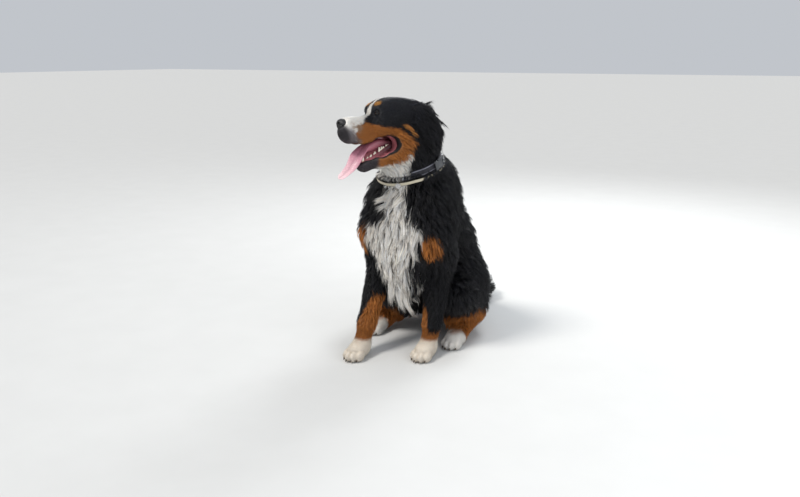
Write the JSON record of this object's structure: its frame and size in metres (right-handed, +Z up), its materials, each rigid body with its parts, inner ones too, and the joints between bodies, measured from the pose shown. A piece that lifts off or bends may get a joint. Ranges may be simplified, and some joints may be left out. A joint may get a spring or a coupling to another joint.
{
  "type": "bernese mountain dog model",
  "caption": "Life-size still model of a sitting bernese mountain dog, head turned to its right, mouth open with the tongue out, wearing a buckled strap collar and a thin band with a tag.",
  "frame": {"origin": "middle of the footprint of the whole dog, on the ground", "axes": "+X the dog's left, -Y the way its chest faces, +Z up"},
  "size_m": [0.4536, 1.0593, 0.873],
  "materials": {
    "coat": "long soft hair, black with rust and white markings, sheen on the black",
    "coat_tan": "rust brown hair",
    "coat_white": "white hair",
    "nose": "moist, finely pebbled",
    "tongue": "moist, fine grain",
    "teeth": "enamel, a little yellow at the root",
    "claws": "horn, semi-gloss",
    "eye": "dark brown iris under a clear wet surface",
    "nylon_strap": "woven nylon with light stripes",
    "cream_band": "smooth, slightly worn",
    "buckle_plastic": "fine grain",
    "steel": "worn bright steel"
  },
  "bodies": {
    "root": {"head": "coat", "lower_jaw": "coat_tan", "nose_pad": "nose", "eye_l": "eye", "eye_r": "eye", "ear_l": "coat", "ear_r": "coat", "tongue": "tongue", "neck": "coat", "chest": "coat", "abdomen": "coat", "rump": "coat", "tail_root": "coat", "tail_tip": "coat", "upper_arm_l": "coat", "upper_arm_r": "coat", "forearm_l": "coat_tan", "forearm_r": "coat_tan", "forepaw_l": "coat_white", "forepaw_r": "coat_white", "thigh_l": "coat", "thigh_r": "coat", "shank_l": "coat", "shank_r": "coat", "hindfoot_l": "coat_white", "hindfoot_r": "coat_white", "collar_strap": "nylon_strap", "collar_band": "cream_band", "collar_buckle": "buckle_plastic", "collar_ring": "steel", "collar_tag": "steel"}
  },
  "joints": []
}
